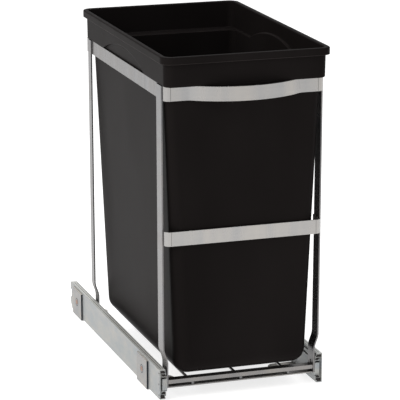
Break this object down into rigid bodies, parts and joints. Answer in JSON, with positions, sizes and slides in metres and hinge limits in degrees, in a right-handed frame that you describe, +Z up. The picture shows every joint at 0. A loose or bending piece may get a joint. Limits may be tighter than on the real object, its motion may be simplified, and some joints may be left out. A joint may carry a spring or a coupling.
{
  "type": "pull-out waste bin",
  "caption": "Tapered black plastic waste bin hung in a steel carrier frame with a bowed pull handle, on ball-bearing slides that screw to a cabinet floor.",
  "frame": {"origin": "centre of the four floor-screw holes, on the cabinet floor", "axes": "+Z up, -Y the way the frame pulls out of the cabinet, +X to the right of a person who faces the handle"},
  "size_m": [0.2472, 0.492, 0.4857],
  "materials": {
    "zinc_rail": "bright zinc-plated steel, faint blue tint",
    "zinc_bracket": "zinc-plated steel",
    "copper_rivet": "dull rivet head",
    "black_guide": "moulded nylon",
    "cage_plastic": "moulded ball cage",
    "bearing_steel": "polished balls",
    "brushed_band": "stainless, brushed along the band",
    "bright_frame": "bright plated steel strip",
    "bin_plastic": "finely grained black plastic"
  },
  "bodies": {
    "cabinet_rails": {"outer_rail_left": "zinc_rail", "outer_rail_right": "zinc_rail", "bracket_front_left": "zinc_bracket", "bracket_front_right": "zinc_bracket", "bracket_rear_left": "zinc_bracket", "bracket_rear_right": "zinc_bracket", "bracket_rivets_left": "copper_rivet", "bracket_rivets_right": "copper_rivet", "outer_guides_left": "black_guide", "outer_guides_right": "black_guide", "rear_stop_left": "black_guide", "rear_stop_right": "black_guide"},
    "outer_cages": {"outer_cage_left": "cage_plastic", "outer_cage_right": "cage_plastic", "outer_balls_left": "bearing_steel", "outer_balls_right": "bearing_steel"},
    "middle_rails": {"middle_rail_left": "zinc_rail", "middle_rail_right": "zinc_rail", "middle_guides_left": "black_guide", "middle_guides_right": "black_guide"},
    "inner_cages": {"inner_cage_left": "cage_plastic", "inner_cage_right": "cage_plastic", "inner_balls_left": "bearing_steel", "inner_balls_right": "bearing_steel"},
    "carrier_frame": {"inner_rail_left": "zinc_rail", "inner_rail_right": "zinc_rail", "post_front_left": "bright_frame", "post_front_right": "bright_frame", "post_rear_left": "bright_frame", "post_rear_right": "bright_frame", "post_rivets_left": "bright_frame", "post_rivets_right": "bright_frame", "pull_handle": "brushed_band", "band_side_left": "bright_frame", "band_side_right": "bright_frame", "band_rear": "bright_frame", "mid_band": "brushed_band", "crossbar_upper": "bright_frame", "crossbar_lower": "bright_frame", "base_wire_left": "bright_frame", "base_wire_middle": "bright_frame", "base_wire_right": "bright_frame"},
    "bin": {"bin_shell": "bin_plastic"}
  },
  "joints": [
    {"name": "pull_out", "type": "slide", "parent": "cabinet_rails", "child": "carrier_frame", "axis": [0, -1, 0], "range_m": [0, 0.42]},
    {"name": "middle_follow", "type": "slide", "parent": "cabinet_rails", "child": "middle_rails", "axis": [0, -1, 0], "range_m": [0, 0.21]},
    {"name": "outer_cage_roll", "type": "slide", "parent": "cabinet_rails", "child": "outer_cages", "axis": [0, -1, 0], "range_m": [0, 0.105]},
    {"name": "inner_cage_roll", "type": "slide", "parent": "cabinet_rails", "child": "inner_cages", "axis": [0, -1, 0], "range_m": [0, 0.315]},
    {"name": "bin_lift", "type": "slide", "parent": "carrier_frame", "child": "bin", "axis": [0, 0, 1], "range_m": [0, 0.44]}
  ],
  "couplings": [
    {"joint": "middle_follow", "follows": "pull_out", "ratio": 0.5},
    {"joint": "outer_cage_roll", "follows": "pull_out", "ratio": 0.25},
    {"joint": "inner_cage_roll", "follows": "pull_out", "ratio": 0.75}
  ]
}
